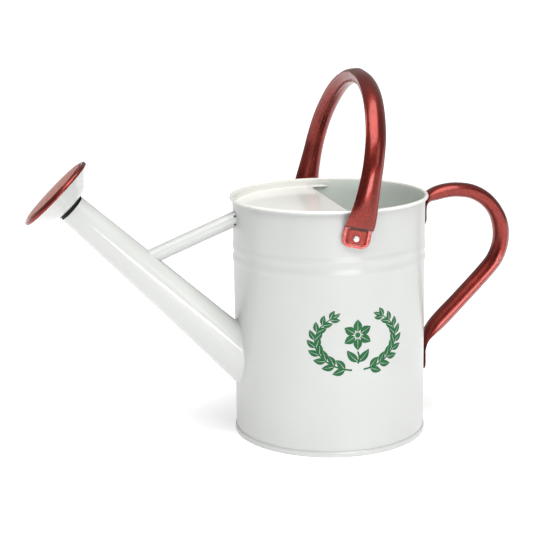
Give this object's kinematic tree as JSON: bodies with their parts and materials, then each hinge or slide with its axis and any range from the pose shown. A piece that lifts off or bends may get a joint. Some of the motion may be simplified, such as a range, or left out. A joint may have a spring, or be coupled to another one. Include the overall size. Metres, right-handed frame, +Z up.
{
  "type": "watering can",
  "caption": "Cylindrical sheet-metal watering can with a long spout and brace, pull-off sprinkler rose, half cover, swinging top bail and fixed rear handle.",
  "frame": {"origin": "on the axis of the tank, in the plane that the can stands on", "axes": "+Z up, -X towards the spout and the rose, +X towards the rear handle, and the bail's pivot axis along Y"},
  "size_m": [0.41, 0.1892, 0.3048],
  "materials": {
    "white_enamel": "glossy white powder coat on steel sheet, pale grey-green inside the tank",
    "red_lacquer": "transparent red lacquer over bright rolled steel strip",
    "red_plate": "thin copper-red lacquer on the perforated plate",
    "green_print": "green screen print on the white coat",
    "black_rubber": "moulded black rubber, matt",
    "rivet_metal": "bright domed rivet head",
    "plated_steel": "zinc-plated steel"
  },
  "bodies": {
    "can": {"body_shell": "white_enamel", "base_plate": "white_enamel", "top_cover": "white_enamel", "spout_tube": "white_enamel", "brace_tube": "white_enamel", "rear_handle": "red_lacquer", "bail_front_rivet": "rivet_metal", "bail_front_washer": "plated_steel", "bail_back_rivet": "rivet_metal", "bail_back_washer": "plated_steel", "handle_upper_rivet": "rivet_metal", "handle_upper_washer": "plated_steel", "handle_lower_rivet": "rivet_metal", "handle_lower_washer": "plated_steel"},
    "bail": {"bail_handle": "red_lacquer"},
    "seal": {"rose_seal": "black_rubber"},
    "rose": {"rose_cup": "white_enamel", "rose_neck": "plated_steel", "rose_plate": "red_plate"}
  },
  "joints": [
    {"name": "bail_swing", "type": "hinge", "parent": "can", "child": "bail", "pos_m": [0, 0, 0.18], "axis": [0, 1, 0], "range_deg": [-100, 62]},
    {"name": "rose_pull", "type": "slide", "parent": "can", "child": "seal", "axis": [-0.6925, 0.0785, 0.7171], "range_m": [0, 0.02]},
    {"name": "rose_turn", "type": "hinge", "parent": "seal", "child": "rose", "pos_m": [-0.2132, 0, 0.2018], "axis": [-0.6925, 0.0785, 0.7171], "continuous": true}
  ]
}
